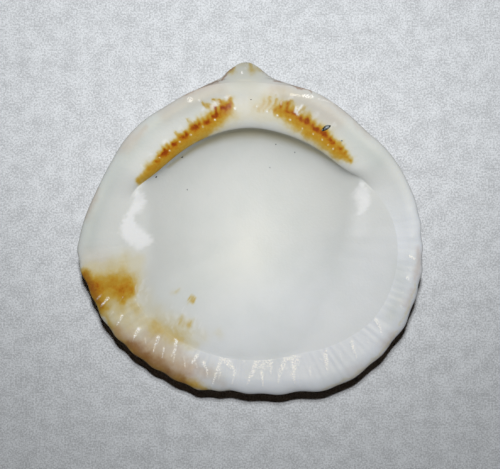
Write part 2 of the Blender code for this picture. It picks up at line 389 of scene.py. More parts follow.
    def wave(self, theta: Values) -> Values:
        """1 on a tooth of the margin, -1 halfway between two."""
        return np.cos(2.0 * math.pi * self.tooth_count(theta))

    def from_hinge(self, theta: Values) -> Values:
        """Degrees between an angle and the middle of the hinge."""
        return np.abs(np.mod(theta, 360.0) - HINGE)

    def coil(self, theta: Values) -> Values:
        """How much a part of the rim takes part in the coiling: none behind the beak."""
        return smooth(*self.coil_span, self.from_hinge(theta))

    def size(self, turn: float) -> float:
        """Size of the rim at an earlier age, as a share of the last one."""
        return math.exp(-turn * (self.shrink + self.shrink_rise * turn))

    def ring(self, theta: Values, radius: Values, height: Values | float) -> Values:
        """A ring of points.

        Args:
            theta: Angles of the points.
            radius: Distances from the middle.
            height: Heights over the plane of the rim.

        Returns:
            The points, one to a row.
        """
        turn = np.radians(theta)
        x, y = np.sin(turn) * radius, -np.cos(turn) * radius
        tilt = math.radians(self.tilt)
        return np.stack([x, y, (height + y * math.sin(tilt)) / math.cos(tilt)], axis=-1)

    def over_plane(self, points: Values) -> Values:
        """Heights of points over the plane of the rim."""
        tilt = math.radians(self.tilt)
        return points[:, 2] * math.cos(tilt) - points[:, 1] * math.sin(tilt)

    def edge_radius(self, theta: Values) -> Values:
        """Distance of the shell's edge from the middle, with the scallops of the ribs."""
        return round_curve(self.outline, theta) - self.scallop * self.wave(theta) * self.toothed(theta)

    def drop(self, theta: Values) -> Values:
        """How far the outside starts below the top of the rounded rim."""
        full = line_of(self.edge_drop, theta)
        return self.edge_drop_beak + (full - self.edge_drop_beak) * self.coil(theta)

    def bare(self, theta: Values, turn: float) -> Values:
        """The edge at an earlier age with no ribs.

        Args:
            theta: Angles round the rim.
            turn: Age, as the turn about the beak in radians.

        Returns:
            The points, one to a row.
        """
        beak_x, beak_y, beak_depth = self.beak
        beak = self.ring(np.array([HINGE]), np.array([beak_y]), -beak_depth)[0]
        beak[0] = beak_x
        arm = self.ring(theta, self.edge_radius(theta), -self.drop(theta)) - beak
        size = self.size(turn)
        swing = turn * self.coil(theta)
        y = arm[:, 1] * np.cos(swing) - arm[:, 2] * np.sin(swing)
        z = arm[:, 1] * np.sin(swing) + arm[:, 2] * np.cos(swing)
        pinch = 1.0 - self.pinch * smooth(*self.pinch_span, turn)
        return beak + size * np.stack([arm[:, 0] * pinch, y, z], axis=-1)

    def outside(self, theta: Values, turn: float) -> Values:
        """The outside at one age, with its ribs and its growth pauses.

        Args:
            theta: Angles round the rim.
            turn: Age, as the turn about the beak in radians.

        Returns:
            The points, one to a row.
        """
        beside, older = self.probe
        along = self.bare(theta + beside, turn) - self.bare(theta - beside, turn)
        back = self.bare(theta, turn + older) - self.bare(theta, turn - older)
        normal = np.cross(back, along)
        normal = normal / np.linalg.norm(normal, axis=1)[:, None]
        points = self.bare(theta, turn)
        size = self.size(turn)
        away = np.hypot(points[:, 0] - self.rest_spot[0], points[:, 1] - self.rest_spot[1])
        worn = self.worn_ribs + (1.0 - self.worn_ribs) * smooth(*self.worn_span, away)
        coil = self.coil(theta)
        crest = np.clip(0.5 - 0.5 * self.wave(theta), 0.0, 1.0) ** self.rib_roundness
        ribs = self.rib_height * size * plateau(turn, self.rib_span) * (2.0 * crest - 1.0)
        steps = np.zeros_like(theta)
        wander = self.pause_wander.at(points[:, 0], points[:, 1])
        length, lip, lip_width = self.pause_shape
        for age, height in self.pauses:
            since = turn + wander - age
            steps = steps - height * np.exp(-np.abs(since) / length) * (since > 0.0)
            steps = steps + 0.5 * height * hump(since, lip, lip_width)
        ribbed = smooth(*self.plain_span, self.from_hinge(theta))
        height = (ribs + steps * math.sqrt(size)) * coil * worn * ribbed
        return self.domed(points + normal * height[:, None], normal)

    def domed(self, points: Values, normal: Values) -> Values:
        """Raises the upper side of the beak to one smooth dome.

        Args:
            points: Points of the outside.
            normal: Which way each faces.

        Returns:
            The points, one to a row.
        """
        x, y = points[:, 0] - self.dome_at[0], points[:, 1] - self.dome_at[1]
        slope, bend, round_off, flank = self.dome_fall
        fall = slope * y + bend * y * y + round_off * x * x + flank * x ** 4
        lack = self.dome_at[2] - fall - self.over_plane(points)
        share = smooth(*self.dome_facing, normal[:, 2]) * (1.0 - smooth(*self.dome_reach, np.abs(x)))
        share = share * smooth(*self.dome_start, y)
        raised = points.copy()
        raised[:, 2] += 0.5 * (lack + np.hypot(lack, self.dome_softness)) * share
        return raised


@dataclass(frozen=True)
class MarginTeeth:
    """The comb of the margin: a low ridge over each rib, strongest near the rim."""

    height: float = 0.038
    sharpness: float = 1.6
    start: Span = (0.3, 0.95)

    def relief(self, count: Values, across: float) -> Values:
        """Height of the ridges.

        Args:
            count: Teeth passed so far round the rim.
            across: Way across the margin, from the hollow (0) to the rim (1).

        Returns:
            Heights, to be added to the bare margin.
        """
        crest = (0.5 + 0.5 * np.cos(2.0 * math.pi * count)) ** self.sharpness
        return self.height * crest * smooth(*self.start, across)


@dataclass(frozen=True)
class HingeTeeth:
    """The two rows of teeth of the hinge plate: their sockets and the small raised ends of the teeth.

    A socket is a place x and y in the plan, its half size and how deep it is. An end has no depth,
    and a highlight is painted on it.
    """

    pits: tuple[Quad, ...] = (
        (-7.57, 4.8, 0.175, 0.35), (-6.84, 5.46, 0.204, 0.5), (-6.19, 6.12, 0.248, 1),
        (-5.53, 6.7, 0.204, 0.8), (-4.73, 7.28, 0.211, 0.8), (-4, 7.94, 0.269, 1),
        (-3.13, 8.3, 0.189, 0.7), (-2.55, 8.74, 0.204, 0.75), (-1.89, 9.32, 0.189, 0.5),
        (2.77, 9.03, 0.175, 0.4), (3.28, 8.88, 0.189, 0.5), (3.71, 8.52, 0.189, 0.6),
        (4.15, 8.3, 0.233, 0.8), (4.8, 7.79, 0.233, 0.9), (5.39, 7.43, 0.226, 0.9),
        (5.97, 6.92, 0.226, 0.8), (6.55, 6.33, 0.175, 0.4),
    )
    ends: Path = (
        (-1.09, 9.25, 0.109), (-2.55, 8.44, 0.08), (-3.42, 7.94, 0.073), (-4.3, 7.35, 0.08),
        (-5.1, 6.84, 0.066), (-5.82, 6.19, 0.066), (-6.55, 5.68, 0.058), (0.51, 9.39, 0.073),
        (1.24, 9.03, 0.073), (1.97, 8.74, 0.095), (2.91, 8.44, 0.087), (3.79, 7.79, 0.066),
        (4.59, 7.43, 0.066), (5.24, 6.99, 0.066), (5.68, 6.62, 0.058), (6.04, 6.33, 0.066),
    )
    pit_depth: float = 0.05
    pit_shape: Span = (1.25, 0.95)
    end_height: float = 0.035
    below_span: Span = (0.3, -0.2)

    def sockets(self, x: Values, y: Values) -> Values:
        """How deep in a socket each place is. A socket lies at right angles to its line from the middle.

        Args:
            x: Places along X.
            y: Places along Y.

        Returns:
            One share for each place, from 0 to 1.
        """
        total = np.zeros_like(x)
        along, across = self.pit_shape
        for px, py, size, depth in self.pits:
            turn = math.degrees(math.atan2(py, px)) - 90.0
            total = total + Mound(px, py, along * size, across * size, turn, depth).over(x, y)
        return np.clip(total, 0.0, 1.0)

    def below(self, x: Values, y: Values) -> Values:
        """Which side of the line of sockets each place is on.

        Args:
            x: Places along X.
            y: Places along Y.

        Returns:
            1 on the hollow's side of the line, 0 on the other side.
        """
        line = [(math.degrees(math.atan2(px, -py)) % 360.0, math.hypot(px, py)) for px, py, *_ in self.pits]
        far = line_of(tuple(sorted(line)), np.degrees(np.arctan2(x, -y)))
        return smooth(*self.below_span, np.hypot(x, y) - far)

    def tips(self, x: Values, y: Values) -> Values:
        """How near the end of a tooth each place is, from 0 to 1."""
        total = sum(Mound(px, py, size, size, 0.0, 1.0).over(x, y) for px, py, size in self.ends)
        return np.clip(total, 0.0, 1.0)

    def relief(self, x: Values, y: Values) -> Values:
        """Height of the teeth over the bare hinge plate."""
        return self.end_height * self.tips(x, y) - self.pit_depth * self.sockets(x, y)


@dataclass(frozen=True)
class Stains:
    """Pigments, worn and polished patches, painted shade and painted highlights of the inside, as strokes in
    the plan.

    They are placed one by one, each as a row that strokes reads. The flecks_and_glints are the bright
    flecks and legs of the margin, raised a little and painted with highlights, and the chalk the worn
    scars, small white spots and a lighter patch in the middle of the hinge plate. The painted_hinge_shade
    is shade painted under the hinge plate.
    """

    amber: tuple[Stroke, ...] = strokes(
        (56, 70, -794, 400, 29, -728, 459, 40, -655, 517, 47, -582, 575, 50, -510, 633, 50, -437, 692, 47,
         -364, 750, 45, -277, 815, 44, -204, 881, 44, -146, 939, 33),
        (40, 80, -728, 495, 22, -619, 604, 29, -510, 699, 33, -400, 786, 36, -291, 859, 40, -197, 932, 40,
         -146, 968, 29),
        (30, 80, -670, 561, 18, -553, 662, 22, -400, 794, 25, -269, 866, 25, -175, 939, 25),
        (50, 70, -342, 968, 13, -277, 939, 16, -226, 917, 18),
        (50, 70, -269, 990, 12, -204, 976, 16, -160, 946, 18), (35, 70, -160, 1012, 12, -131, 961, 15),
        (30, 80, -677, 604, 12, -648, 575, 15), (30, 80, -539, 757, 10, -510, 713, 15),
        (30, 80, -451, 852, 10, -422, 808, 15), (20, 110, 44, 932, 44, 116, 961, 58, 218, 968, 51),
        (22, 90, 66, 903, 7, 109, 976, 7), (25, 90, 95, 903, 7, 146, 997, 7),
        (28, 90, 138, 903, 7, 189, 1005, 7), (32, 90, 175, 895, 9, 226, 976, 9),
        (30, 80, 277, 903, 22, 371, 852, 25, 480, 779, 25, 597, 692, 25),
        (50, 80, 226, 946, 29, 291, 917, 40, 379, 859, 44, 466, 794, 44, 553, 728, 40, 633, 655, 33, 684,
         604, 22),
        (53, 90, 189, 925, 22, 277, 859, 33, 379, 786, 36, 480, 713, 36, 582, 641, 36, 670, 582, 33, 735,
         553, 22),
        (45, 80, 262, 954, 15, 306, 976, 11), (30, 80, 364, 903, 11, 393, 932, 9),
        (20, 125, -764, 422, 29, -619, 531, 44, -437, 655, 51, -255, 772, 51, -131, 888, 44),
        (22, 125, 233, 903, 44, 364, 786, 51, 495, 699, 51, 626, 612, 44, 728, 553, 22),
        (7, 90, -116, 917, 44, 0, 961, 66, 116, 932, 51),
        (7, 100, -320, 815, 25, -175, 852, 36, 0, 866, 36, 189, 844, 36, 335, 794, 25),
        (42, 100, -968, -313, 51, -903, -328, 58), (24, 115, -925, -262, 51, -874, -349, 36),
        (15, 100, -1194, -211, 36, -1092, -211, 44, -997, -197, 47, -895, -167, 51),
        (13, 95, -1005, -626, 66, -874, -735, 87, -728, -830, 95, -524, -932, 80),
        (22, 95, -990, -451, 58, -932, -502, 51),
        (10, 95, -808, -160, 36, -794, -357, 36, -713, -524, 44, -546, -626, 58, -349, -728, 44),
        (50, 90, -954, -794, 36, -866, -859, 55, -728, -946, 62, -590, -1041, 55, -459, -1099, 44),
        (66, 90, -1208, -284, 36, -1165, -349, 58, -1121, -422, 58, -1074, -517, 34),
        (60, 90, -1107, -364, 51, -1019, -371, 58, -939, -386, 55, -888, -393, 44),
        (50, 90, -946, -408, 36, -932, -466, 29), (30, 100, -1107, -306, 51, -1019, -313, 44),
        (20, 100, -874, -364, 36, -859, -444, 31, -844, -517, 33),
        (19, 100, -815, -553, 44, -772, -619, 55, -677, -677, 58),
        (26, 90, -677, -670, 55, -597, -713, 58, -510, -750, 47), (13, 90, -539, -750, 36, -400, -801, 29),
        (16, 100, -1034, -473, 58, -954, -561, 58, -881, -641, 51),
        (10, 90, -1085, -495, 29, -1034, -597, 25, -968, -699, 29),
        (30, 90, -1216, -284, 22, -1165, -393, 22, -1107, -510, 18, -1048, -612, 18, -976, -706, 22, -895,
         -794, 22, -764, -903, 22),
        (46, 100, -480, -1070, 29, -386, -1092, 25, -313, -1114, 15),
        (12, 90, -328, -1121, 9, -146, -1128, 7),
        (14, 90, 524, -1128, 9, 728, -1041, 11, 888, -925, 11, 1005, -801, 11, 1070, -699, 7),
        (14, 90, 1092, -648, 7, 1158, -502, 7, 1208, -357, 7), (17, 90, -546, -408, 16, -510, -393, 11),
        (42, 80, -459, -466, 7, -444, -444, 7, -415, -459, 7, -415, -488, 8, -444, -488, 7, -459, -466, 7),
        (24, 90, -502, -604, 16, -502, -641, 16), (36, 90, -451, -626, 20, -444, -655, 17),
        (9, 90, -226, -713, 29), (8, 90, -531, -684, 22, -437, -713, 15),
        (34, 100, -116, 1216, 13, -138, 1187, 17), (34, 100, 0, 1245, 13, 15, 1201, 19),
        (20, 100, 44, 1230, 18, 87, 1194, 15), (10, 100, -80, 1252, 18, -15, 1252, 18),
    )
    rose: tuple[Stroke, ...] = strokes(
        (62, 90, -961, -706, 44, -859, -772, 58, -757, -830, 66, -655, -888, 66, -553, -946, 58, -451, -997,
         44),
        (38, 90, -466, -917, 44, -335, -990, 44), (25, 100, -480, -1034, 36, -364, -1063, 29),
        (28, 90, -757, -713, 29, -619, -794, 44, -510, -844, 36),
        (20, 90, -277, -1019, 44, -204, -1077, 29), (12, 90, -1179, -131, 51, -1063, -160, 58),
        (24, 95, -612, 888, 58, -495, 968, 66, -349, 1026, 66, -204, 1063, 51),
        (30, 95, -466, 1041, 29, -364, 1085, 29, -240, 1114, 22),
        (26, 90, -917, 633, 36, -830, 728, 36, -750, 794, 22),
        (30, 90, -1187, 153, 29, -1158, 248, 29, -1114, 335, 22),
        (26, 95, 189, 1063, 51, 335, 1012, 73, 480, 932, 73, 626, 830, 58),
        (16, 90, 524, 1019, 15, 728, 866, 18, 859, 728, 22), (12, 90, 728, -990, 29, 815, -946, 22),
        (25, 90, 976, -794, 29, 1034, -721, 22), (30, 90, 1223, -102, 22, 1230, -189, 22, 1208, -320, 18),
        (22, 90, 1179, -393, 22, 1136, -495, 22),
    )
    brown: tuple[Stroke, ...] = strokes(
        (60, 95, -881, -786, 22, -823, -815, 36, -757, -866, 25),
        (62, 95, -743, -895, 29, -677, -925, 40, -612, -976, 33),
        (60, 95, -590, -997, 25, -531, -1026, 33, -473, -1056, 22),
        (36, 85, -903, -794, 15, -743, -925, 16, -582, -1041, 16, -451, -1107, 15, -320, -1136, 11),
        (35, 90, -1194, -277, 15, -1165, -349, 18, -1114, -451, 18, -1085, -517, 15),
        (65, 80, 175, 1139, 7, 262, 1121, 9, 342, 1085, 8, 437, 1048, 7),
        (45, 90, -480, 1034, 7, -342, 1092, 8, -240, 1121, 7),
        (70, 80, -211, 1139, 7, -167, 1179, 9, -124, 1223, 7), (35, 90, 87, 1208, 6, 131, 1172, 6),
    )
    # Shade painted on the wall and floor under the hinge plate.
    painted_hinge_shade: tuple[Stroke, ...] = strokes(
        (90, 100, -597, 502, 7, -510, 568, 9, -415, 633, 14, -320, 684, 20, -204, 735, 29, -73, 764, 36, 87,
         764, 36, 218, 735, 33, 349, 684, 23, 480, 619, 16, 612, 546, 11, 728, 480, 7),
    )
    grey: tuple[Stroke, ...] = strokes(
        (68, 90, -1179, -73, 66, -1165, 80, 66, -1114, 240, 66, -1019, 422, 66, -917, 568, 66, -801, 692,
         58),
        (72, 95, -728, 786, 66, -539, 903, 66, -364, 990, 58, -204, 1056, 36),
        (60, 95, 218, 1048, 44, 408, 968, 66, 597, 844, 66, 772, 699, 66, 932, 553, 66),
        (35, 100, -328, -990, 58, -204, -1034, 51),
        (35, 100, 1077, -233, 44, 1092, -408, 51, 1034, -575, 44),
    )
    # Worn scars and small white spots; the first row paints the middle of the hinge plate lighter.
    chalk: tuple[Stroke, ...] = strokes(
        (28, 90, -87, 917, 51, 0, 946, 73, 102, 932, 51),
        (100, 30, -808, 291, 33, -815, 233, 44, -852, 167, 40, -888, 109, 44, -874, 29, 70, -808, -22, 66,
         -750, -29, 42),
        (95, 40, 808, 349, 29, 815, 298, 55, 830, 233, 42, 794, 160, 22),
        (30, 90, 815, 131, 51, 794, 44, 44), (65, 70, -269, 932, 17, -240, 954, 15),
        (50, 70, -233, 961, 13), (60, 70, -175, 1005, 13, -153, 1012, 12),
        (60, 70, -619, 677, 15, -597, 692, 12), (40, 80, -415, 830, 12), (35, 80, -728, 590, 12),
        (35, 80, -502, 786, 12), (40, 80, -349, 917, 12), (35, 80, -786, 495, 12),
        (80, 60, 328, 932, 12, 349, 903, 17, 379, 939, 10), (60, 70, 371, 888, 10),
        (35, 80, 284, 990, 13, 313, 1012, 10), (50, 70, 226, 976, 10), (25, 80, 197, 1026, 15),
        (25, 80, 451, 866, 10, 495, 895, 10), (30, 80, 590, 786, 9, 619, 815, 9), (30, 80, 655, 699, 9),
        (30, 90, -823, -342, 6, -844, -408, 6), (35, 90, -794, -364, 6, -815, -444, 6),
        (30, 90, -764, -306, 6, -786, -393, 6), (25, 90, -743, -393, 6, -757, -466, 6),
        (30, 90, -612, -546, 6, -597, -626, 6), (30, 90, -568, -524, 6, -546, -604, 6),
        (35, 90, -539, -568, 6, -524, -648, 6), (30, 90, -480, -546, 6, -459, -612, 6),
        (35, 90, -415, -582, 6, -393, -684, 6), (30, 90, -371, -619, 6, -342, -713, 6),
        (30, 90, -575, -633, 6, -561, -692, 6), (25, 90, -437, -684, 6, -422, -743, 6),
    )
    # Bright flecks and legs of the margin and a few crest spots, raised a little and painted as highlights.
    flecks_and_glints: tuple[Stroke, ...] = strokes(
        (42, 90, -837, -459, 3, -808, -510, 5, -772, -553, 5, -735, -590, 5, -699, -619, 3),
        (60, 60, -1085, -430, 8, -1121, -466, 5), (85, 60, -1034, -451, 10, -1085, -510, 6),
        (40, 60, -925, -444, 6, -946, -473, 4), (40, 60, -997, -553, 7, -1026, -590, 4),
        (85, 60, -932, -582, 10, -968, -648, 5), (100, 60, -808, -677, 14, -844, -735, 7),
        (40, 60, -844, -743, 7, -859, -772, 4), (45, 60, -764, -743, 7, -757, -794, 4),
        (95, 60, -670, -743, 15, -684, -786, 9), (60, 60, -692, -794, 8, -706, -852, 4),
        (60, 60, -626, -815, 9, -641, -888, 4), (100, 60, -539, -757, 14, -546, -830, 9),
        (60, 60, -553, -837, 8, -575, -881, 5), (50, 60, -546, -844, 8, -561, -932, 4),
        (55, 60, -480, -881, 8, -473, -961, 4), (85, 60, -386, -874, 13, -422, -925, 8),
        (50, 60, -393, -932, 8, -386, -961, 5), (85, 60, -342, -925, 14, -313, -976, 8),
        (60, 60, -313, -983, 8, -313, -1026, 5), (80, 60, -204, -881, 11, -233, -968, 13, -277, -1092, 5),
        (50, 60, -211, -976, 8, -233, -1056, 5), (85, 70, -204, -888, 17, -160, -925, 23, -116, -976, 11),
        (70, 60, -109, -983, 11, -131, -1077, 5), (40, 90, -51, -917, 19),
        (75, 60, 58, -910, 21, 15, -1005, 16, -22, -1085, 4), (55, 80, 58, -903, 21, 160, -910, 13),
        (60, 70, 146, -917, 19, 153, -1005, 6), (50, 90, 95, -954, 34),
        (75, 60, 87, -1005, 13, 95, -1099, 4), (70, 60, 255, -903, 16, 218, -997, 16, 204, -1070, 4),
        (60, 80, 255, -895, 16, 342, -903, 13), (85, 60, 328, -888, 21, 313, -1012, 16, 328, -1077, 4),
        (50, 70, 364, -881, 11, 357, -946, 6), (35, 90, 269, -961, 23),
        (45, 70, 437, -961, 11, 444, -1026, 6), (30, 90, 466, -939, 11),
        (90, 60, 553, -837, 9, 553, -903, 19, 561, -976, 7), (40, 90, 517, -903, 9),
        (35, 80, 568, -976, 7, 568, -1019, 4), (35, 80, 655, -844, 8, 670, -917, 5),
        (90, 60, 743, -779, 13, 757, -830, 10), (50, 70, 757, -837, 11, 779, -888, 5),
        (30, 80, 779, -888, 6, 830, -946, 4), (40, 80, 852, -743, 8, 866, -794, 5),
        (90, 60, 917, -612, 11, 939, -655, 9), (65, 70, 946, -662, 11, 961, -721, 5),
        (30, 80, 1026, -582, 7, 1026, -619, 4), (50, 70, 1092, -502, 8, 1121, -539, 5),
        (35, 90, 1114, -408, 13), (80, 60, 1143, -306, 11, 1165, -335, 7),
        (50, 80, 1158, -233, 8, 1172, -248, 8), (100, 60, 1165, -146, 9, 1201, -167, 9),
        (50, 90, 1179, 0, 13), (30, 90, 1187, -87, 8), (90, 70, -437, 990, 19), (50, 80, -371, 983, 11),
        (50, 70, 298, 1026, 11, 364, 1019, 8), (100, 60, 393, 1019, 13, 451, 1012, 13),
        (50, 80, 495, 997, 7, 633, 961, 7), (80, 80, -58, 1187, 11), (35, 110, -167, 1005, 19),
        (40, 110, 349, 925, 23), (35, 110, -262, 939, 23), (30, 110, -619, 677, 20),
    )


class Band(Enum):
    """Bands of rings that the body is made of: their order, and how many segments each ring has."""

    OUTSIDE = (0, 480)
    EDGE = (1, 960)
    HOLLOW = (2, 480)
    MIDDLE = (3, 240)

    @property
    def segments(self) -> int:
        """Segments in each ring of the band."""
        return self.value[1]

    def angles(self) -> Values:
        """Angles of the points of a ring, in degrees."""
        return np.arange(self.segments) * 360.0 / self.segments


@dataclass
class Ring:
    """One ring of the finished shell, with its age and how much of it is outside."""

    band: Band
    points: Values
    age: float = 0.0
    outer: float = 0.0


def mesh_array(source: bpy.types.bpy_prop_collection, name: str, width: int, kind: type) -> Values:
    """One property of all items of a mesh as an array.

    Args:
        source: Vertices or edges.
        name: The property.
        width: Numbers to an item.
        kind: Type of the numbers.

    Returns:
        One row for each item.
    """
    values = np.empty(len(source) * width, kind)
    source.foreach_get(name, values)
    return values.reshape(-1, width)


def select_only(things: list[Thing]) -> None:
    """Selects some objects and nothing else.

    Args:
        things: The objects, of which the first becomes active.
    """
    bpy.ops.object.select_all(action="DESELECT")
    for thing in things:
        thing.select_set(True)
    bpy.context.view_layer.objects.active = things[0]


def joined(things: list[Thing], name: str) -> Thing:
    """Makes some mesh objects into one.

    Args:
        things: The objects.
        name: Name of the one that they become.

    Returns:
        That object.
    """
    select_only(things)
    bpy.ops.object.join()
    things[0].name = things[0].data.name = name
    return things[0]


def select_edges(obj: Thing, chosen: Values) -> None:
    """Goes into edit mode with only some edges selected.

    Args:
        obj: The active mesh object.
        chosen: True for each edge to select.
    """
    bpy.ops.object.mode_set(mode="EDIT")
    bpy.ops.mesh.select_mode(type="EDGE")
    bpy.ops.mesh.select_all(action="DESELECT")
    bpy.ops.object.mode_set(mode="OBJECT")
    obj.data.edges.foreach_set("select", chosen)
    bpy.ops.object.mode_set(mode="EDIT")


def edge_levels(obj: Thing) -> Values:
    """Levels of the two ends of each edge of a rough tube or body, as whole numbers."""
    level = np.round(mesh_array(obj.data.vertices, "co", 3, np.float32)[:, 2])
    return level[mesh_array(obj.data.edges, "vertices", 2, np.int32)]


def select_levels(body: Thing, levels: tuple[int, ...]) -> None:
    """Goes into edit mode with the rings at some levels selected."""
    ends = edge_levels(body)
    select_edges(body, (ends[:, 0] == ends[:, 1]) & np.isin(ends[:, 0], levels))


def rough_tube(segments: int, rings: int, level: int) -> Thing:
    """A plain open tube with one ring to each whole step of height.

    Args:
        segments: Segments round it.
        rings: How many rings it has.
        level: Height of the lowest ring.

    Returns:
        The tube.
    """
    bpy.ops.object.select_all(action="DESELECT")
    bpy.ops.mesh.primitive_cylinder_add(
        vertices=segments, radius=1.0, depth=rings - 1, end_fill_type="NOTHING",
        location=(0, 0, level + (rings - 1) / 2),
    )
    tube = bpy.context.object
    bpy.ops.object.transform_apply(location=True, rotation=True, scale=True)
    ends = edge_levels(tube)
    select_edges(tube, ends[:, 0] != ends[:, 1])
    bpy.ops.mesh.subdivide(number_cuts=rings - 2)
    bpy.ops.object.mode_set(mode="OBJECT")
    return tube


def rough_body(bands: dict[Band, int], name: str) -> Thing:
    """One closed body of rough tubes, each bridged to the next and drawn together at both ends.

    Args:
        bands: Each band, in order, and how many rings it has.
        name: Name of the body.

    Returns:
        The body, with one ring to each whole step of height.
    """
    tubes, starts, level = [], [], 0
    for band, rings in bands.items():
        tubes.append(rough_tube(band.segments, rings, level))
        starts.append(level)
        level += rings
    body = joined(tubes, name)
    for start in starts[1:]:
        select_levels(body, (start - 1, start))
        bpy.ops.mesh.bridge_edge_loops()
        bpy.ops.object.mode_set(mode="OBJECT")
    for end in (0, level - 1):
        select_levels(body, (end,))
        bpy.ops.mesh.edge_face_add()
        bpy.ops.mesh.poke()
        bpy.ops.object.mode_set(mode="OBJECT")
    return body


@dataclass
class Points:
    """The points of the shell, with what is known about each of them."""

    places: Values
    theta: Values
    age: Values
    outer: Values
    inside: Values
    plate: Values


@dataclass
class Valve:
    """The shell itself, from the beak over the outside, the margin and the hollow."""

    form: ShellForm = field(default_factory=ShellForm)
    comb: MarginTeeth = field(default_factory=MarginTeeth)
    teeth: HingeTeeth = field(default_factory=HingeTeeth)
    stains: Stains = field(default_factory=Stains)

    outside_rings: int = 75
    outside_span: Span = (0.085, 0.12)
    outside_evenness: float = 0.75
    turn_samples: int = 2000
    young_turns: tuple[float, ...] = (0.06, 0.035, 0.014)
    rim_rings: int = 15
    rim_outside: Span = (0.99, 60.0)
    margin_rings: int = 27
    wall_rings: int = 9
    wall_share: float = 0.11
    wall_crowding: float = 1.7
    floor_rings: int = 22
    floor_share: Span = (0.855, 0.27)
    middle_rings: int = 8
    shoulder_span: Span = (0.0, 0.8)

    # Relief of the inside.
    leg_height: float = 0.018
    scar_height: float = 0.02
    waviness: Ripple = Ripple(22, 2.6, 0.006)
    streaks: Ripple = Ripple(23, 0.045, 0.007)

    # Pigments and painted tones: how their edges waver, where the beak and the teeth take them, how much
    # highlight is painted on the ends of the teeth, and where the low side is painted lighter and bluer.
    row_streaks: Ripple = Ripple(35, 0.05, 0.2)
    warps: tuple[tuple[Ripple, Ripple], ...] = (
        (Ripple(31, 1.1, 0.09), Ripple(33, 1.1, 0.09)), (Ripple(32, 0.32, 0.04), Ripple(34, 0.32, 0.04)),
    )
    chalk_warp: tuple[Ripple, Ripple] = (Ripple(36, 0.4, 0.05), Ripple(37, 0.4, 0.05))
    hinge_from: float = 3.0
    socket_amber: float = 0.42
    tip_fading: float = 0.6
    tip_shine: float = 0.8
    beak_angles: Span = (35.0, 60.0)
    beak_ages: Span = (1.2, 2.0)
    beak_top: Quad = (10.7, 11.2, 2.4, 3.4)
    beak_facing: Span = (0.05, 0.35)
    beak_tone: Span = (0.6, 2.7)
    beak_gloss: Span = (1.5, 4.5)
    low_slope: float = 0.5
    low_span: Span = (2.0, -8.0)
    low_share: Span = (0.55, 0.45)

    def turns(self) -> Values:
        """Ages of the rings of the outside.

        Returns:
            Turns about the beak, oldest first, about evenly spaced along the shell.
        """
        start, before_end = self.outside_span
        fine = np.linspace(start, self.form.oldest - before_end, self.turn_samples)
        step = np.exp(-self.outside_evenness * fine * (self.form.shrink + self.form.shrink_rise * fine))
        run = np.concatenate([[0.0], np.cumsum(0.5 * (step[1:] + step[:-1]))])
        even = np.linspace(0.0, run[-1], self.outside_rings)
        return np.interp(even, run, fine)[::-1]

    def margin(self, theta: Values, t: float, rim: float = 0.0) -> Values:
        """A ring across the margin and the hinge plate.

        Args:
            theta: Angles round the rim.
            t: Way from the inner edge (0) to the start of the rounded rim (1).
            rim: Way over the rounded rim, from 0 to 1 at the outside.

        Returns:
            The points, one to a row.
        """
        form = self.form
        weight = form.weight_of_hinge(theta)
        inner, outer = round_curve(form.contour, theta), form.edge_radius(theta)
        width = outer - inner
        round_off = line_of(form.edge_width, theta)
        distance = inner + (width - round_off) * t + round_off * rim
        across = (distance - inner) / width
        coil = form.coil(theta)
        round_fall = 1.0 - math.sqrt(max(1.0 - rim ** 2, 0.0))
        drop = form.drop(theta) * (coil * round_fall + (1.0 - coil) * rim ** 2)
        free = -line_of(form.slopes, theta) * width * (1.0 - across)
        lip = -form.lip_depth * np.exp(-form.lip_rounding * across)
        height = free * (1.0 - weight) + lip * weight - drop
        comb = self.comb.relief(form.tooth_count(theta), float(np.mean(across)))
        height = height + comb * form.toothed(theta) * (1.0 - weight)
        return form.ring(theta, distance, height)

    def bowl(self, theta: Values, radius: Values, edge: Values) -> Values:
        """Heights of the hollow: a round bowl that meets a shoulder, or a steep wall under the hinge plate.

        Args:
            theta: Angles round the rim.
            radius: Distances from the middle.
            edge: Heights of the inner edge of the margin.

        Returns:
            One height for each angle.
        """
        form = self.form
        weight = form.weight_of_hinge(theta)
        contour, rise = round_curve(form.contour, theta), round_curve(form.bowl_rise, theta)
        inward = contour - radius
        bowl = form.middle + rise * (radius / form.bowl_radius) ** 2
        shoulder = edge - form.shoulder_slope * inward
        rounding = form.shoulder_round * smooth(*self.shoulder_span, inward)
        free = 0.5 * (bowl + shoulder - np.hypot(bowl - shoulder, rounding))
        foot = form.middle + rise * (contour / form.bowl_radius) ** 2
        steep, gentle = form.wall_reach
        fall = (1.0 - form.wall_foot) * np.exp(-inward / steep) + form.wall_foot * np.exp(-inward / gentle)
        under = bowl + (edge - foot) * fall
        return free + (under - free) * weight

    def hollow(self) -> list[Ring]:
        """The wall and the floor.

        Returns:
            Their rings, from the margin to the last one round the middle.
        """
        form = self.form
        theta = Band.HOLLOW.angles()
        contour = round_curve(form.contour, theta)
        edge = self.margin(theta, 0.0)[:, 2]
        steps = np.linspace(0.0, 1.0, self.wall_rings + 1)[1:]
        shares = 1.0 - self.wall_share * steps ** self.wall_crowding
        rings = []
        for share in np.concatenate([shares, np.linspace(*self.floor_share, self.floor_rings)]):
            ring = form.ring(theta, contour * share, 0.0)
            ring[:, 2] = self.bowl(theta, contour * share, edge)
            rings.append(Ring(Band.HOLLOW, ring))
        last = rings[-1].points[::2]
        for part in np.linspace(1.0, 0.0, self.middle_rings + 2)[1:-1]:
            ring = last.copy()
            ring[:, :2] = last[:, :2] * part
            ring[:, 2] = form.middle + (last[:, 2] - form.middle) * part ** 2
            rings.append(Ring(Band.MIDDLE, ring))
        return rings

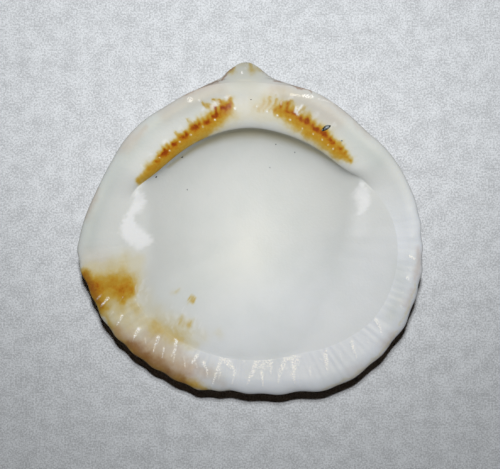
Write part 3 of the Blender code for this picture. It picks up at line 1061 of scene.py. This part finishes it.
    def rings(self) -> list[Ring]:
        """The whole shell but for its two poles.

        Returns:
            Every ring, from the beak to the last one round the middle of the hollow.
        """
        rings = []
        for band, turns in ((Band.OUTSIDE, self.turns()), (Band.EDGE, self.young_turns)):
            rings += [Ring(band, self.form.outside(band.angles(), turn), turn, 1.0) for turn in turns]
        theta = Band.EDGE.angles()
        start, rise = self.rim_outside
        for rim in np.cos(0.5 * math.pi * np.arange(self.rim_rings) / self.rim_rings):
            ring = self.margin(theta, 1.0, rim)
            rings.append(Ring(Band.EDGE, ring, outer=max(0.0, rim - start) * rise))
        for t in np.linspace(1.0, 0.0, self.margin_rings):
            rings.append(Ring(Band.EDGE, self.margin(theta, t)))
        return rings + self.hollow()

    def placed(self, rough: Values, rings: list[Ring]) -> Points:
        """Finds the place of each point of the rough body on the rings of the shell.

        Args:
            rough: Points of the rough body.
            rings: Every ring of the shell.

        Returns:
            The points of the shell in the places of the growth law, with what is known about each.
        """
        level = np.round(rough[:, 2]).astype(int)
        angle = np.degrees(np.arctan2(rough[:, 0], -rough[:, 1])) % 360.0
        places, age, outer = np.zeros((len(rough), 3)), np.zeros(len(rough)), np.zeros(len(rough))
        for k, ring in enumerate(rings):
            here = np.flatnonzero(level == k)
            count = len(ring.points)
            places[here] = ring.points[np.round(angle[here] * count / 360.0).astype(int) % count]
            age[here], outer[here] = ring.age, ring.outer
        # The rings of the rough body have a radius of 1, and its poles are in the middle.
        pole = np.hypot(rough[:, 0], rough[:, 1]) < 0.5
        first, last = pole & (level == 0), pole & (level != 0)
        places[first] = np.mean(self.form.bare(Band.OUTSIDE.angles(), self.form.oldest), axis=0)
        age[first] = self.form.oldest
        places[last] = (0.0, 0.0, self.form.middle)
        outside = self.outside_rings + len(self.young_turns)
        plate = level < outside + self.rim_rings + self.margin_rings
        return Points(places, angle, age, outer, level >= outside, plate)

    def build(self) -> Thing:
        """Makes the shell.

        Returns:
            The finished mesh object, in metres, in its place.
        """
        rings = self.rings()
        shell = rough_body({band: sum(ring.band is band for ring in rings) for band in Band}, "shell")
        points = self.placed(mesh_array(shell.data.vertices, "co", 3, np.float32), rings)
        self.carve(points)
        places = points.places + np.array(SET_DOWN)
        places[:, 2] = np.maximum(places[:, 2], 0.0)
        points.places = places - np.array(SET_DOWN)
        shell.data.vertices.foreach_set("co", (places * MM).ravel())
        self.finish_mesh(shell)
        self.mark(shell, points)
        return shell

    def carve(self, points: Points) -> None:
        """Adds the relief of the hinge teeth, the flecks, the scars and the fine streaks to the inside.

        Args:
            points: The points of the shell, whose places this changes.
        """
        inside = points.inside
        x, y = points.places[inside, 0], points.places[inside, 1]
        theta = points.theta[inside]
        on_plate = points.plate[inside].astype(float)
        lift = self.teeth.relief(x, y) * on_plate
        lift = lift + self.leg_height * painted(self.stains.flecks_and_glints, x, y) * on_plate
        lift = lift + self.streaks.at(np.radians(theta)) * (self.form.toothed(theta) ** 2 * on_plate)
        lift = lift + self.scar_height * painted(self.stains.chalk, x, y)
        points.places[inside, 2] += lift + self.waviness.at(x, y)

    def on_beak(self, shell: Thing, points: Points) -> Values:
        """How far each point of the outside belongs to the upper side of the beak.

        Args:
            shell: The mesh object.
            points: Its points, with what is known about each.

        Returns:
            One share for each point, from 0 to 1.
        """
        y_low, y_high, x_low, x_high = self.beak_top
        x, y = points.places[:, 0], points.places[:, 1]
        away = self.form.from_hinge(points.theta)
        old = (1.0 - smooth(*self.beak_angles, away)) * (1.0 - smooth(*self.beak_ages, points.age))
        top = smooth(y_low, y_high, y) * (1.0 - smooth(x_low, x_high, np.abs(x)))
        facing = mesh_array(shell.data.vertex_normals, "vector", 3, np.float32)[:, 2]
        return points.outer * np.maximum(old, top) * smooth(*self.beak_facing, facing)

    def mark(self, shell: Thing, points: Points) -> None:
        """Stores on each point what the material needs: pigments, painted shade and highlights, dull
        patches, gloss and age.

        Args:
            shell: The mesh object.
            points: Its points, with what is known about each.
        """
        x, y = points.places[:, 0], points.places[:, 1]
        inside, plate, stains = points.inside, points.plate, self.stains
        over_beak = self.on_beak(shell, points)
        within = np.maximum(inside.astype(float), over_beak)
        warped = [x, y]
        for pair in self.warps:
            warped = [place + ripple.at(x, y) for place, ripple in zip(warped, pair)]
        rough = [place + ripple.at(x, y) for place, ripple in zip(warped, self.chalk_warp)]
        under_hinge = (y > self.hinge_from) & ~plate & inside
        on_row = plate * (y > self.hinge_from)
        streak = self.row_streaks.at(np.radians(points.theta)) * on_row * (1.0 - self.teeth.below(x, y))
        amber = painted(stains.amber, *warped) * ~under_hinge * (1.0 + streak)
        amber = amber + self.socket_amber * self.teeth.sockets(x, y) * on_row
        tips = self.teeth.tips(x, y) * on_row
        from_beak = np.hypot(x - self.form.beak[0], y - self.form.beak[1])
        on_hollow, added = self.low_share
        marks = {
            "amber": np.clip(amber * (1.0 - self.tip_fading * tips), 0.0, 1.0) * within,
            "rose": painted(stains.rose, *warped) * within,
            "brown": painted(stains.brown, *warped) * within,
            # shade painted under the hinge plate
            "painted_hinge_shade": painted(stains.painted_hinge_shade, x, y) * (inside & ~plate),
            # a lighter, bluer tone painted towards the ventral edge and the right side
            "low": smooth(*self.low_span, y - self.low_slope * x) * (on_hollow + added * plate),
            "grey": painted(stains.grey, x, y) * within,
            "chalk": painted(stains.chalk, *rough) * within,
            # flecks of the margin and ends of the hinge teeth, painted as highlights
            "flecks_and_glints": np.maximum(painted(stains.flecks_and_glints, x, y), self.tip_shine * tips) * plate * within,
            "outer": points.outer * (1.0 - over_beak),
            "beak": 1.0 - smooth(*self.beak_tone, from_beak),
            "age": points.age,
            "gloss": within * plate * smooth(*self.beak_gloss, from_beak),
        }
        for name, values in marks.items():
            layer = shell.data.attributes.new(name, "FLOAT", "POINT")
            layer.data.foreach_set("value", values.astype(np.float32))

    def finish_mesh(self, shell: Thing) -> None:
        """Turns the faces outwards and shades them smooth.

        Args:
            shell: The mesh object.
        """
        select_only([shell])
        bpy.ops.object.mode_set(mode="EDIT")
        bpy.ops.mesh.select_all(action="SELECT")
        bpy.ops.mesh.normals_make_consistent(inside=False)
        bpy.ops.object.mode_set(mode="OBJECT")
        bpy.ops.object.shade_smooth()


@dataclass
class Bench:
    """A material being wired up: adds nodes and links their sockets."""

    name: str
    material: bpy.types.Material = field(init=False)

    def __post_init__(self) -> None:
        """Makes the material with only its output and shader."""
        self.material = bpy.data.materials.new(self.name)
        self.material.use_nodes = True

    def add(self, kind: str, inputs: dict[str | int, object], **settings: object) -> bpy.types.Node:
        """Adds a node.

        Args:
            kind: Its type, without the leading ShaderNode.
            inputs: What its inputs get, by name or place.
            settings: Properties of the node.

        Returns:
            The node.
        """
        node = self.material.node_tree.nodes.new("ShaderNode" + kind)
        for key, value in settings.items():
            setattr(node, key, value)
        for key, value in inputs.items():
            self.feed(node.inputs[key], value)
        return node

    def feed(self, socket: Socket, value: object) -> None:
        """Gives an input a value or a link.

        Args:
            socket: The input.
            value: A number, a vector, a colour or another node's output.
        """
        if isinstance(value, bpy.types.NodeSocket):
            self.material.node_tree.links.new(value, socket)
        elif socket.type == "RGBA":
            socket.default_value = (*value, 1.0)
        else:
            socket.default_value = value

    def surface(self, inputs: dict[str, object]) -> bpy.types.Material:
        """Gives the surface shader its inputs.

        Args:
            inputs: What they get, by name.

        Returns:
            The material.
        """
        shader = self.material.node_tree.nodes["Principled BSDF"]
        for name, value in inputs.items():
            self.feed(shader.inputs[name], value)
        return self.material

    def attribute(self, name: str) -> Socket:
        """A number stored on each point of the mesh."""
        return self.add("Attribute", {}, attribute_name=name).outputs["Fac"]

    def place(self) -> Socket:
        """Object coordinates in millimetres."""
        at = self.add("TexCoord", {}).outputs["Object"]
        return self.add("Mapping", {"Scale": (1.0 / MM,) * 3, "Vector": at}).outputs["Vector"]

    def noise(self, at: Socket, pattern: Triple) -> Socket:
        """Cloudy noise from 0 to 1, by its scale, detail and roughness."""
        inputs = dict(zip(("Scale", "Detail", "Roughness"), pattern))
        return self.add("TexNoise", {"Vector": at, **inputs}).outputs["Fac"]

    def maths(self, operation: str, *terms: object) -> Socket:
        """One sum on numbers."""
        return self.add("Math", dict(enumerate(terms)), operation=operation).outputs[0]

    def times(self, first: object, second: object) -> Socket:
        """Two numbers multiplied."""
        return self.maths("MULTIPLY", first, second)

    def spread(self, value: object, low: float, high: float, start: float = 0.0, end: float = 1.0) -> Socket:
        """A number stretched from low and high to start and end, with soft ends."""
        inputs = dict(enumerate((value, low, high, start, end)))
        return self.add("MapRange", inputs, interpolation_type="SMOOTHSTEP").outputs[0]

    def mix(self, amount: object, under: object, over: object, blend: str = "MIX") -> Socket:
        """Two colours mixed by an amount. The node's colours A and B are its inputs 6 and 7."""
        return self.add("Mix", {0: amount, 6: under, 7: over}, data_type="RGBA", blend_type=blend).outputs[2]

    def blend(self, amount: object, under: object, over: object) -> Socket:
        """Two numbers mixed by an amount. The node's numbers A and B are its inputs 2 and 3."""
        return self.add("Mix", {0: amount, 2: under, 3: over}, data_type="FLOAT").outputs[0]

    def ramp(self, value: Socket, stops: tuple[tuple[float, Triple], ...]) -> Socket:
        """A colour ramp.

        Args:
            value: The number that it reads.
            stops: Places and colours.

        Returns:
            The colour.
        """
        node = self.add("ValToRGB", {"Fac": value})
        elements = node.color_ramp.elements
        while len(elements) < len(stops):
            elements.new(0.5)
        for element, (place, colour) in zip(elements, stops):
            element.position = place
            element.color = (*colour, 1.0)
        return node.outputs["Color"]

    def bump(self, height: Socket, distance: float, **others: object) -> Socket:
        """Fine relief.

        Args:
            height: The relief, from 0 to 1.
            distance: Its height in metres.
            others: Its strength, and the normal under it.

        Returns:
            The bent normal.
        """
        return self.add("Bump", {"Height": height, "Distance": distance, **others}).outputs["Normal"]


@dataclass(frozen=True)
class ShellFinish:
    """White porcelain-like shell with amber pigment inside, shade painted under the hinge plate, highlights
    painted on the margin, and blotches on the ribbed outside.
    """

    white: Triple = (0.64, 0.655, 0.635)
    # The lighter, bluer tone painted towards the low side.
    cool: Triple = (0.72, 0.75, 0.79)
    grey: Triple = (0.5, 0.54, 0.52)
    chalk: Triple = (0.79, 0.8, 0.8)
    # Colour of the highlights painted on the flecks of the margin and the ends of the hinge teeth.
    flecks_and_glints: Triple = (0.97, 0.955, 0.91)
    rose: Triple = (0.42, 0.26, 0.15)
    brown: Triple = (0.22, 0.085, 0.03)
    # Colour of the shade painted under the hinge plate.
    painted_hinge_shade: Triple = (0.47, 0.43, 0.28)
    beak: Triple = (0.49, 0.5, 0.455)
    ivory: Triple = (0.52, 0.46, 0.36)
    blotch: Triple = (0.24, 0.1, 0.035)
    amber: tuple[tuple[float, Triple], ...] = (
        (0.0, (1.0, 1.0, 1.0)), (0.15, (0.95, 0.88, 0.7)), (0.3, (0.87, 0.71, 0.38)),
        (0.5, (0.78, 0.51, 0.11)), (0.65, (0.73, 0.41, 0.04)), (0.8, (0.66, 0.27, 0.01)),
        (0.9, (0.53, 0.13, 0.002)), (1.0, (0.4, 0.06, 0.0)),
    )
    hollow_roughness: float = 0.5
    plate_roughness: float = 0.45
    fleck_roughness: float = 0.2
    chalk_roughness: float = 0.7
    outside_roughness: float = 0.5
    fine_bump: float = 0.000012
    grain_bump: float = 0.00006
    cloud: Triple = (0.3, 3.0, 0.55)
    cloud_span: Quad = (0.35, 0.75, 0.0, 0.25)
    mottle: Triple = (4.0, 5.0, 0.65)
    mottle_share: Span = (0.5, 0.75)
    grains: Triple = (8.0, 2.0, 0.55)
    grain_span: Quad = (0.42, 0.6, 0.15, 1.0)
    # How the amount of painted highlight is spread.
    glint_span: Span = (0.1, 0.9)
    wet_span: Span = (0.1, 0.6)
    fine: Triple = (5.0, 3.0, 0.55)
    bands: Triple = (0.35, 4.0, 0.6)
    belts: Triple = (14.0, 9.0, 0.25)
    blotch_span: Span = (0.42, 0.7)
    blotch_ages: Span = (1.5, 0.8)
    rim_coat: Quad = (0.0, 0.3, 0.75, 0.0)
    worn_ages: Span = (0.7, 1.6)

    def inside(self, bench: Bench, place: Socket) -> Socket:
        """Colour of the inside.

        Args:
            bench: The material.
            place: Object coordinates in millimetres.

        Returns:
            The colour.
        """
        cloud = bench.spread(bench.noise(place, self.cloud), *self.cloud_span)
        dull = bench.maths("ADD", cloud, bench.attribute("grey"))
        # The low side is painted lighter and bluer.
        base = bench.mix(bench.spread(bench.attribute("low"), 0.0, 1.0), self.white, self.cool)
        base = bench.mix(dull, base, self.grey)
        base = bench.mix(bench.attribute("beak"), base, self.beak)
        mottle = bench.maths("MULTIPLY_ADD", bench.noise(place, self.mottle), *self.mottle_share)
        stain = bench.times(bench.attribute("amber"), mottle)
        base = bench.mix(1.0, base, bench.ramp(stain, self.amber), "MULTIPLY")
        # Shade painted under the hinge plate.
        base = bench.mix(bench.attribute("painted_hinge_shade"), base, self.painted_hinge_shade)
        for name, tone in (("rose", self.rose), ("brown", self.brown)):
            base = bench.mix(bench.times(bench.attribute(name), mottle), base, tone)
        base = bench.mix(bench.attribute("chalk"), base, self.chalk)
        # Painted highlights: near white on the flecks of the margin and the ends of the hinge teeth, broken
        # by grains.
        grains = bench.spread(bench.noise(place, self.grains), *self.grain_span)
        flecks_and_glints = bench.spread(bench.attribute("flecks_and_glints"), *self.glint_span)
        return bench.mix(bench.times(flecks_and_glints, grains), base, self.flecks_and_glints)

    def outside(self, bench: Bench, place: Socket) -> Socket:
        """Colour of the ribbed outside.

        Args:
            bench: The material.
            place: Object coordinates in millimetres.

        Returns:
            The colour.
        """
        age = bench.attribute("age")
        bands = bench.noise(place, self.bands)
        pace, wander, strength = self.belts
        belt = bench.maths("SINE", bench.maths("MULTIPLY_ADD", age, pace, bench.times(bands, wander)))
        blotch = bench.spread(bench.maths("MULTIPLY_ADD", belt, strength, bands), *self.blotch_span)
        blotch = bench.times(blotch, bench.spread(age, *self.blotch_ages))
        rim = bench.spread(age, *self.rim_coat)
        coat = bench.mix(bench.maths("MAXIMUM", blotch, rim), self.ivory, self.blotch)
        return bench.mix(bench.spread(age, *self.worn_ages), coat, self.beak)

    def roughness(self, bench: Bench) -> Socket:
        """Roughness of each kind of surface, from the hollow up to the wet-looking flecks with painted
        highlights.

        Args:
            bench: The material.

        Returns:
            The roughness.
        """
        gloss = bench.spread(bench.attribute("gloss"), 0.0, 1.0, self.hollow_roughness, self.plate_roughness)
        dull = bench.spread(bench.attribute("amber"), 0.0, 0.5)
        rough = bench.blend(dull, gloss, self.chalk_roughness)
        rough = bench.blend(bench.attribute("chalk"), rough, self.chalk_roughness)
        rough = bench.blend(bench.attribute("outer"), rough, self.outside_roughness)
        wet = bench.spread(bench.attribute("flecks_and_glints"), *self.wet_span)
        return bench.blend(wet, rough, self.fleck_roughness)

    def material(self) -> bpy.types.Material:
        """Wires the material.

        Returns:
            The finished material.
        """
        bench = Bench("shell_porcelain")
        place = bench.place()
        outer = bench.attribute("outer")
        soft = bench.bump(bench.noise(place, self.fine), self.fine_bump)
        grains, flecks_and_glints = bench.noise(place, self.grains), bench.attribute("flecks_and_glints")
        return bench.surface({
            "Base Color": bench.mix(outer, self.inside(bench, place), self.outside(bench, place)),
            "Roughness": self.roughness(bench),
            "IOR": 1.53,
            "Specular IOR Level": 0.2,
            "Specular Tint": (1.0, 0.85, 0.5),
            "Subsurface Weight": 0.1,
            "Subsurface Radius": (1.0, 0.85, 0.65),
            "Subsurface Scale": 0.0004,
            "Normal": bench.bump(grains, self.grain_bump, Strength=flecks_and_glints, Normal=soft),
        })


@dataclass(frozen=True)
class PaperFinish:
    """Pale silvery grey paper with a fine tooth."""

    tone: Triple = (0.555, 0.58, 0.605)
    contrast: Span = (0.76, 1.24)
    cloud: Triple = (0.9, 3.0, 0.6)
    cloud_share: float = 0.5
    fleck: Triple = (8.0, 1.0, 0.6)
    fleck_span: Span = (0.5, 1.0)
    tooth: Triple = (6.0, 3.0, 0.7)
    tooth_height: float = 0.00004

    def material(self) -> bpy.types.Material:
        """Wires the material.

        Returns:
            The finished material.
        """
        bench = Bench("paper")
        place = bench.place()
        cloud = bench.times(bench.noise(place, self.cloud), self.cloud_share)
        fleck = bench.maths("ADD", bench.noise(place, self.fleck), cloud)
        dark, light = (tuple(share * c for c in self.tone) for share in self.contrast)
        return bench.surface({
            "Base Color": bench.mix(bench.spread(fleck, *self.fleck_span), dark, light),
            "Roughness": 0.6,
            "Normal": bench.bump(bench.noise(place, self.tooth), self.tooth_height),
        })


@dataclass(frozen=True)
class GrainFinish:
    """Dark mineral with a paler blue-grey middle."""

    dark: Triple = (0.01, 0.011, 0.012)
    pale: Triple = (0.2, 0.23, 0.24)
    vein: Triple = (3.0, 2.0, 0.55)
    vein_span: Span = (0.45, 0.6)

    def material(self) -> bpy.types.Material:
        """Wires the material.

        Returns:
            The finished material.
        """
        bench = Bench("sand_mineral")
        vein = bench.spread(bench.noise(bench.place(), self.vein), *self.vein_span)
        return bench.surface({"Base Color": bench.mix(vein, self.dark, self.pale), "Roughness": 0.4})


@dataclass
class Dirt:
    """A grain of sand on the hinge plate and a few specks of dust."""

    grain: Span = (5.53, 7.86)
    grain_size: Triple = (0.34, 0.15, 0.13)
    grain_turn: float = 28.0
    grain_rise: float = 0.6
    grain_seed: int = 41
    specks: Path = (
        (6.66, 6.92, 0.07), (1.89, 6.7, 0.05), (3.28, 6.12, 0.06), (1.46, 5.02, 0.045),
        (0.07, 9.9, 0.045), (-4.95, 5.75, 0.08), (-6.84, 4.3, 0.08), (-4.59, 3.39, 0.05),
    )
    speck_shape: Triple = (1.0, 0.7, 0.5)
    speck_turn: float = 40.0
    speck_rise: float = 0.2
    speck_seed: int = 50
    swell: float = 0.14
    swell_length: float = 1.4
    ray_start: float = 0.05

    def surface(self, shell: Thing, x: float, y: float) -> float:
        """Height of the shell's upper surface.

        Args:
            shell: The finished shell.
            x: Place along X in the plan.
            y: Place along Y in the plan.

        Returns:
            The height in millimetres.
        """
        above = Vector(((x + SET_DOWN[0]) * MM, (y + SET_DOWN[1]) * MM, self.ray_start))
        hit, spot, _, _ = shell.ray_cast(above, Vector((0.0, 0.0, -1.0)))
        return spot.z / MM if hit else 0.0

    def lump(self, at: Triple, size: Triple, turn: float, seed: int) -> Thing:
        """One small rough stone.

        Args:
            at: Place of its middle, x and y in the plan.
            size: Half its size each way.
            turn: Turn about Z in degrees.
            seed: Seed of its shape.

        Returns:
            The stone.
        """
        bpy.ops.object.select_all(action="DESELECT")
        bpy.ops.mesh.primitive_ico_sphere_add(subdivisions=3, radius=1.0)
        stone = bpy.context.object
        co = mesh_array(stone.data.vertices, "co", 3, np.float32).astype(float)
        swell = 1.0 + Ripple(seed, self.swell_length, self.swell).at(*co.T)
        co = co * swell[:, None] * np.array(size)
        c, s = math.cos(math.radians(turn)), math.sin(math.radians(turn))
        px = co[:, 0] * c - co[:, 1] * s + at[0] + SET_DOWN[0]
        py = co[:, 0] * s + co[:, 1] * c + at[1] + SET_DOWN[1]
        places = np.stack([px, py, co[:, 2] + at[2]], axis=-1)
        stone.data.vertices.foreach_set("co", (places * MM).ravel())
        bpy.ops.object.shade_smooth()
        return stone

    def build(self, shell: Thing) -> list[Thing]:
        """Makes the grain and the specks on the shell.

        Args:
            shell: The finished shell.

        Returns:
            The grain and the specks.
        """
        x, y = self.grain
        z = self.surface(shell, x, y) + self.grain_rise * self.grain_size[2]
        grain = self.lump((x, y, z), self.grain_size, self.grain_turn, self.grain_seed)
        grain.name = grain.data.name = "sand_grain"
        made = []
        for k, (x, y, size) in enumerate(self.specks):
            z = self.surface(shell, x, y) + self.speck_rise * size
            shape = tuple(share * size for share in self.speck_shape)
            made.append(self.lump((x, y, z), shape, self.speck_turn * k, self.speck_seed + k))
        return [grain, joined(made, "dust_specks")]


@dataclass
class Studio:
    """The paper, the lights and the camera, in metres but for the centre of the view."""

    floor_size: float = 120.0
    sun_strength: float = 1.62
    sun_angle: float = 1.6
    light_tilt: float = 8.5
    beam_power: float = 8.5
    beam_height: float = 0.6
    beam_spread: float = 7.1
    beam_radius: float = 0.008
    beam_target: float = 0.014
    fill: float = 0.002
    fill_tone: Triple = (0.93, 0.96, 1.0)
    view_width: float = 0.0364
    view_height: float = 0.5
    view_centre: Span = (0.0, 0.11)
    rim_height: float = 0.0065
    sensor: float = 36.0
    clip: Span = (0.01, 50.0)

    def floor(self) -> Thing:
        """Makes the paper that the valve lies on.

        Returns:
            The floor.
        """
        bpy.ops.object.select_all(action="DESELECT")
        bpy.ops.mesh.primitive_plane_add(size=self.floor_size)
        floor = bpy.context.object
        floor.name = "paper_floor"
        return floor

    def lights(self) -> None:
        """A main light a little behind the hinge, a soft beam on the hinge side and a faint fill."""
        tilt = math.radians(self.light_tilt)
        sun = bpy.data.objects.new("main_light", bpy.data.lights.new("main_light", "SUN"))
        sun.data.energy = self.sun_strength
        sun.data.angle = math.radians(self.sun_angle)
        beam = bpy.data.objects.new("beam", bpy.data.lights.new("beam", "SPOT"))
        beam.data.energy = self.beam_power
        beam.data.spot_size = math.radians(self.beam_spread)
        beam.data.spot_blend = 1.0
        beam.data.shadow_soft_size = self.beam_radius
        target = Vector((self.view_centre[0] * MM + SET_DOWN[0] * MM, self.beam_target, 0.0))
        beam.location = target + Vector((0.0, math.sin(tilt), math.cos(tilt))) * self.beam_height
        for light in (sun, beam):
            light.rotation_euler = (-tilt, 0.0, 0.0)
            bpy.context.scene.collection.objects.link(light)
        world = bpy.data.worlds.new("soft_fill")
        world.use_nodes = True
        background = world.node_tree.nodes["Background"]
        background.inputs["Color"].default_value = (*self.fill_tone, 1.0)
        background.inputs["Strength"].default_value = self.fill
        bpy.context.scene.world = world

    def camera(self) -> None:
        """The camera, looking straight down."""
        camera = bpy.data.objects.new("camera", bpy.data.cameras.new("camera"))
        distance = self.view_height - self.rim_height
        camera.data.sensor_width = self.sensor
        camera.data.lens = self.sensor * distance / self.view_width
        x = (self.view_centre[0] + SET_DOWN[0]) * MM
        y = (self.view_centre[1] + SET_DOWN[1]) * MM
        camera.location = (x, y, self.view_height)
        camera.data.clip_start, camera.data.clip_end = self.clip
        bpy.context.scene.collection.objects.link(camera)
        bpy.context.scene.camera = camera


def main() -> None:
    """Builds the shell, the dirt on it and the studio, and reports each piece."""
    logging.basicConfig(level=logging.INFO, format="%(message)s")
    log = logging.getLogger("shell")
    shell = Valve().build()
    grain, specks = Dirt().build(shell)
    porcelain, mineral = ShellFinish().material(), GrainFinish().material()
    for piece, material in ((shell, porcelain), (grain, mineral), (specks, mineral)):
        piece.data.materials.clear()
        piece.data.materials.append(material)
        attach(piece, "root")
        log.info("%s: %d triangles", piece.name, sum(len(p.vertices) - 2 for p in piece.data.polygons))
    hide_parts("valve")
    studio = Studio()
    floor = studio.floor()
    floor.data.materials.append(PaperFinish().material())
    studio.lights()
    studio.camera()
    bpy.context.scene.view_settings.view_transform = "Standard"


if __name__ == "__main__":
    main()
